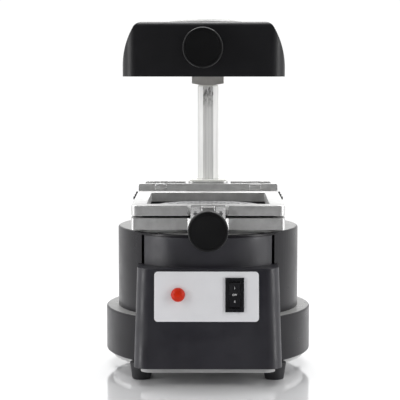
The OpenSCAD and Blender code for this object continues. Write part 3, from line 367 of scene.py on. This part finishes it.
# The nodes that have each finish
DRESS = {
    "housing": ["base_shell", "rear_housing"],
    "cover": ["front_cover"],
    "head": ["head_shell"],
    "plate": ["base_plate"],
    "panel": ["control_panel"],
    # The lower sheet seal's wide flat mat is a dark sheet placed in the gap between the frames, where there
    # is only shade
    "rubber": ["rubber_feet", "lower_sheet_seal", "upper_sheet_seal", "platen_gasket", "fan_seal",
               "motor_mount", "heater_lead"],
    "steel": ["plate_screws", "foot_screws", "housing_bolts", "carriage_screws", "platen_screws",
              "hinge_pin", "catch_plungers", "lamp_nut", "pivot_nut", "motor_shaft", "lower_bearing",
              "upper_bearing"],
    "dark_steel": ["post_screws"],
    "shiny_black": ["switch_body", "rocker", "power_inlet", "fuse_holder"],
    "brass": ["inlet_pins", "brush_holders"],
    "lens": ["lamp_lens"],
    "white_plastic": ["lamp_body", "carriage_liner", "thrust_washer", "element_clips"],
    "zinc": ["motor_can", "fan_case"],
    "copper": ["stator", "armature"],
    "fan": ["lower_impeller", "upper_impeller"],
    "platen": ["platen"],
    "post": ["post"],
    "cast": ["carriage", "lower_frame", "upper_frame"],
    "machined": ["handle_stem", "head_stem", "handle_bracket"],
    "knob": ["handle_knob", "head_knob"],
    "collar": ["head_collar"],
    "cap": ["head_cap"],
    "bright": ["reflector"],
    "fibre": ["insulation"],
    "hot_steel": ["heating_element"],
    "shell_black": ["diffuser", "suction_duct"],
}
FINISH_OF = {node: finish for finish, members in DRESS.items() for node in members}


def dress_nodes():
    for node, obj in frame["nodes"].items():
        obj.data.materials.clear()
        obj.data.materials.append(FINISHES[FINISH_OF[node]])


# Pieces

# Points closer than WELD become one, and faces become one where they turn less than FLAT
WELD = 2e-6
FLAT = math.radians(0.4)
# Edges that turn more than CREASE are rounded, and those that turn more than SHARP stay sharp in the shading
CREASE = math.radians(32)
SHARP = math.radians(40)


def add_piece(name, bm, node, finishes, replace=True):
    """Makes a bmesh a piece in place of a node, or beside it, riding on the node's body."""
    mesh = bpy.data.meshes.new(name)
    bmesh.ops.recalc_face_normals(bm, faces=bm.faces)
    bm.to_mesh(mesh)
    bm.free()
    for finish in finishes:
        mesh.materials.append(FINISHES[finish])
    mesh.shade_smooth()
    mesh.set_sharp_from_angle(angle=SHARP)
    obj = bpy.data.objects.new(name, mesh)
    bpy.context.collection.objects.link(obj)
    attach(obj, frame["nodes"][node]["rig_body"])
    if replace:
        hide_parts(node)
    return obj


def softened(node, width, bright):
    """A node's own mesh with its long sharp edges rounded. bright is the finish of the rounded edges."""
    bm = bmesh.new()
    bm.from_mesh(frame["nodes"][node].data)
    bmesh.ops.remove_doubles(bm, verts=bm.verts, dist=WELD)
    bmesh.ops.dissolve_limit(bm, angle_limit=FLAT, verts=bm.verts, edges=bm.edges)
    creases = [e for e in bm.edges if len(e.link_faces) == 2 and e.calc_face_angle(0) > CREASE]
    bmesh.ops.bevel(bm, geom=creases, offset=width * MM, offset_type="OFFSET", segments=2, profile=0.5,
                    affect="EDGES", clamp_overlap=True, material=1 if bright else -1, loop_slide=True)
    piece = add_piece(node + "_finished", bm, node, [FINISH_OF[node]] + ([bright] if bright else []))
    even = piece.modifiers.new("even_normals", "WEIGHTED_NORMAL")
    even.keep_sharp = True
    even.weight = 100


def pointing(start, axis):
    """The matrix that moves the origin to start and turns +Z to point along axis."""
    turn = Vector((0, 0, 1)).rotation_difference(Vector(axis)).to_matrix().to_4x4()
    return Matrix.Translation(start) @ turn


def spin(bm, profile, place, steps):
    """Adds a profile of (radius, height) pairs turned about +Z and moved by the matrix place."""
    angles = [2 * math.pi * k / steps for k in range(steps)]
    rings = []
    for r, z in profile:
        around = angles if r > 0 else angles[:1]
        rings.append([bm.verts.new(place @ Vector((r * math.cos(a), r * math.sin(a), z))) for a in around])
    for low, high in zip(rings, rings[1:]):
        for k in range(steps):
            n = (k + 1) % steps
            corners = [low[k % len(low)], low[n % len(low)], high[n % len(high)], high[k % len(high)]]
            bm.faces.new(list(dict.fromkeys(corners)))
    for ring in (rings[0], rings[-1]):
        if len(ring) > 1:
            bm.faces.new(ring)


def arc(cx, cy, r, start, end, steps):
    """Points (cx + r cos, cy + r sin) from start to end, in degrees."""
    angles = [math.radians(start + (end - start) * k / steps) for k in range(steps + 1)]
    return [(cx + r * math.cos(a), cy + r * math.sin(a)) for a in angles]


def knob_piece(node):
    """A knob with a rounded rim, a fine ring and a shallow dish in its face."""
    low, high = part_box(node)
    radius = (high.z - low.z) / 2
    depth = high.y - low.y
    rim, chamfer = 1.6 * MM, 0.3 * MM
    neck, neck_l = 8.5 * MM, 3 * MM
    groove = radius - rim - 0.8 * MM
    # Distances inward from the groove's outer edge, and depths below the face, in millimetres
    section = [(0, 0), (0.25, 0.3), (0.7, 0.3), (0.95, 0)]
    slope_d, dish_d = 0.35 * MM, 0.45 * MM
    profile = [(0, chamfer), (neck - chamfer, 0), (neck, chamfer), (neck, neck_l)]
    profile += arc(radius - rim, neck_l + rim, rim, -90, 0, 8)
    profile += arc(radius - rim, depth - rim, rim, 0, 90, 10)
    profile += [(groove - inward * MM, depth - down * MM) for inward, down in section]
    profile += [(groove / 2, depth - slope_d), (0, depth - dish_d)]
    swing = HEAD_SWING if frame["nodes"][node]["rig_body"] == "head" else 0
    out = Vector((-math.sin(swing), -math.cos(swing), 0))
    back = (low + high) / 2 - out * (depth / 2)
    bm = bmesh.new()
    spin(bm, profile, pointing(back, out), 72)
    add_piece(node + "_turned", bm, node, ["knob"])


def lens_piece():
    """The pilot lamp's domed lens with its flange and a stepped rim."""
    low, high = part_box("lamp_lens")
    out = Vector((0, -math.cos(RAKE), math.sin(RAKE)))
    radius, wall, chamfer = 6.6 * MM, 6.0 * MM, 0.3 * MM
    tall, flange, dome = 6.0 * MM, 1.4 * MM, 9.0 * MM
    rim_h, rim_slope, rim_w = 0.5 * MM, 0.15 * MM, 0.4 * MM
    edge = tall - dome + math.sqrt(dome**2 - wall**2)
    profile = [(0, 0), (radius, 0), (radius, flange - chamfer), (radius - chamfer, flange), (wall, flange),
               (wall, edge - rim_h), (wall - rim_slope, edge)]
    steps = 12
    first = math.asin((wall - rim_w) / dome)
    slopes = [first * (1 - k / steps) for k in range(steps)]
    profile += [(dome * math.sin(a), tall - dome + dome * math.cos(a)) for a in slopes]
    profile.append((0, tall))
    foot = (low + high) / 2 - out * (tall / 2)
    bm = bmesh.new()
    spin(bm, profile, pointing(foot, out), 48)
    add_piece("lamp_lens_domed", bm, "lamp_lens", ["lens"])


def legend(name, text, size, along_face):
    """A generic mark printed on the rocker, following its hollow face. Sizes are in millimetres."""
    ink = 0.02 * MM
    curve = bpy.data.curves.new("mark", "FONT")
    curve.body = text
    curve.size = size * MM
    curve.align_x = "CENTER"
    curve.align_y = "CENTER"
    curve.extrude = ink
    curve.offset = ink
    holder = bpy.data.objects.new("mark", curve)
    bpy.context.collection.objects.link(holder)
    bpy.context.view_layer.update()
    mesh = bpy.data.meshes.new_from_object(holder.evaluated_get(bpy.context.evaluated_depsgraph_get()))
    bpy.data.objects.remove(holder)
    bm = bmesh.new()
    bm.from_mesh(mesh)
    pivot = Vector(next(j["pos_m"] for j in frame["joints"] if j["name"] == "rocker_tilt"))
    up = Vector((0, math.sin(RAKE), math.cos(RAKE)))
    out = Vector((0, -math.cos(RAKE), math.sin(RAKE)))
    pivot_depth, panel_t, rise, dip, half = 2 * MM, 1.2 * MM, 2.4 * MM, 1.5 * MM, 11.6 * MM
    for v in bm.verts:
        s = along_face * MM + v.co.y
        face = pivot_depth + panel_t + rise - dip * (1 - abs(s) / half)
        v.co = pivot + Vector((v.co.x, 0, 0)) + up * s + out * (face + ink + v.co.z)
    add_piece(name, bm, "rocker", ["legend"], replace=False)


def side_studs(name, side):
    """Three small dark studs along the rear half of the upper frame's side."""
    low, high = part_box("upper_frame")
    edge = high.x if side > 0 else low.x
    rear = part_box("lower_frame")[1].y
    frame_t = 9.5 * MM
    radius, proud, sunk, corner = 1.7 * MM, 2.6 * MM, 0.5 * MM, 0.7 * MM
    pitch, below_top, from_rear = 27 * MM, 1.9 * MM, 6 * MM
    height = low.z + frame_t - below_top
    profile = [(radius, -sunk)] + arc(radius - corner, proud - corner, corner, 0, 90, 6)
    bm = bmesh.new()
    for k in range(3):
        spin(bm, profile, pointing((edge, rear - from_rear - k * pitch, height), (side, 0, 0)), 24)
    add_piece(name, bm, "upper_frame", ["rubber"], replace=False)


# Stage

# Brightness of the white backdrop, and of the light that comes from the front
BACKDROP = 1.04
FRONT_LIGHT = 0.14


def make_floor():
    """A glossy pale floor that turns into the white backdrop further out."""
    bm = bmesh.new()
    bmesh.ops.create_grid(bm, x_segments=1, y_segments=1, size=12.0)
    mesh = bpy.data.meshes.new("floor")
    bm.to_mesh(mesh)
    bm.free()
    s = Surface("floor").gloss(0.04, 0.08, size=300).set(Metallic=0.40)
    y = s.axis(s.where, "Y")
    s.colours(s.ranged(y, 0, 1, -0.8, -0.25), (0.06, 0.06, 0.06), (0.88, 0.88, 0.89), 0, 1)
    away = s.tree.nodes.new("ShaderNodeVectorMath")
    away.operation = "LENGTH"
    s.link(s.where, away.inputs[0])
    # In a picture the floor turns white on all sides, and in reflections only behind the machine
    path = s.tree.nodes.new("ShaderNodeLightPath")
    turns = s.maths("MAXIMUM", path.outputs["Is Camera Ray"], s.ranged(y, 0, 1, 0.0, 0.2))
    glow = s.tree.nodes.new("ShaderNodeEmission")
    glow.inputs["Strength"].default_value = BACKDROP
    mix = s.tree.nodes.new("ShaderNodeMixShader")
    s.link(s.product(turns, s.ranged(away.outputs["Value"], 0, 1, 0.30, 0.75)), mix.inputs["Fac"])
    s.link(s.shader.outputs["BSDF"], mix.inputs[1])
    s.link(glow.outputs["Emission"], mix.inputs[2])
    s.link(mix.outputs["Shader"], s.tree.nodes["Material Output"].inputs["Surface"])
    mesh.materials.append(s.material)
    floor = bpy.data.objects.new("floor", mesh)
    bpy.context.collection.objects.link(floor)


def make_world():
    """A white backdrop all round. The light and the reflections from the front are dimmer."""
    world = bpy.data.worlds.new("studio")
    world.use_nodes = True
    bpy.context.scene.world = world
    nodes, links = world.node_tree.nodes, world.node_tree.links
    where = nodes.new("ShaderNodeTexCoord")
    split = nodes.new("ShaderNodeSeparateXYZ")
    ranged = nodes.new("ShaderNodeMapRange")
    ranged.interpolation_type = "SMOOTHSTEP"
    ranged.inputs["From Min"].default_value = -0.55
    ranged.inputs["From Max"].default_value = 0.25
    ranged.inputs["To Min"].default_value = FRONT_LIGHT
    ranged.inputs["To Max"].default_value = BACKDROP
    links.new(where.outputs["Generated"], split.inputs[0])
    links.new(split.outputs["Y"], ranged.inputs["Value"])
    seen = nodes.new("ShaderNodeMix")
    links.new(nodes.new("ShaderNodeLightPath").outputs["Is Camera Ray"], seen.inputs["Factor"])
    links.new(ranged.outputs["Result"], seen.inputs["A"])
    seen.inputs["B"].default_value = BACKDROP
    links.new(seen.outputs["Result"], nodes["Background"].inputs["Strength"])
    nodes["Background"].inputs["Color"].default_value = (1, 1, 1, 1)


def area_light(name, at, size, watts):
    """A rectangular light that looks at the middle of the machine."""
    middle = Vector((0, 0, 0.17))
    data = bpy.data.lights.new(name, "AREA")
    data.shape = "RECTANGLE"
    data.size, data.size_y = size
    data.energy = watts
    light = bpy.data.objects.new(name, data)
    light.location = at
    light.rotation_euler = (middle - Vector(at)).to_track_quat("-Z", "Y").to_euler()
    bpy.context.collection.objects.link(light)


make_camera()
dress_nodes()
# Node, width of its rounded edges in millimetres, and their finish where it is another
for node, width, bright in [
    ("base_shell", 0.5, None),
    ("front_cover", 0.6, None),
    ("rear_housing", 0.6, None),
    ("base_plate", 0.4, None),
    ("control_panel", 0.25, None),
    ("switch_body", 0.3, None),
    ("lower_frame", 0.5, "machined"),
    ("upper_frame", 0.5, "machined"),
    ("carriage", 0.5, "machined"),
    ("handle_bracket", 0.4, None),
    ("post", 0.3, None),
    ("head_shell", 0.5, None),
    ("head_cap", 0.4, None),
    ("head_collar", 0.6, None),
    ("rubber_feet", 0.6, None),
    ("platen", 0.3, None),
]:
    softened(node, width, bright)
knob_piece("handle_knob")
knob_piece("head_knob")
lens_piece()
legend("mark_one", "I", 3.0, 6.4)
legend("mark_off", "OFF", 2.6, 0)
legend("mark_two", "II", 3.0, -6.4)
side_studs("side_studs_left", -1)
side_studs("side_studs_right", 1)
make_floor()
make_world()
area_light("top_box", (0, 0.55, 1.5), size=(1.6, 1.2), watts=34)
area_light("left_strip", (-1.15, -0.55, 0.55), size=(0.25, 1.2), watts=9)
area_light("right_strip", (1.15, -0.55, 0.55), size=(0.25, 1.2), watts=9)
bpy.context.scene.view_settings.view_transform = "Standard"
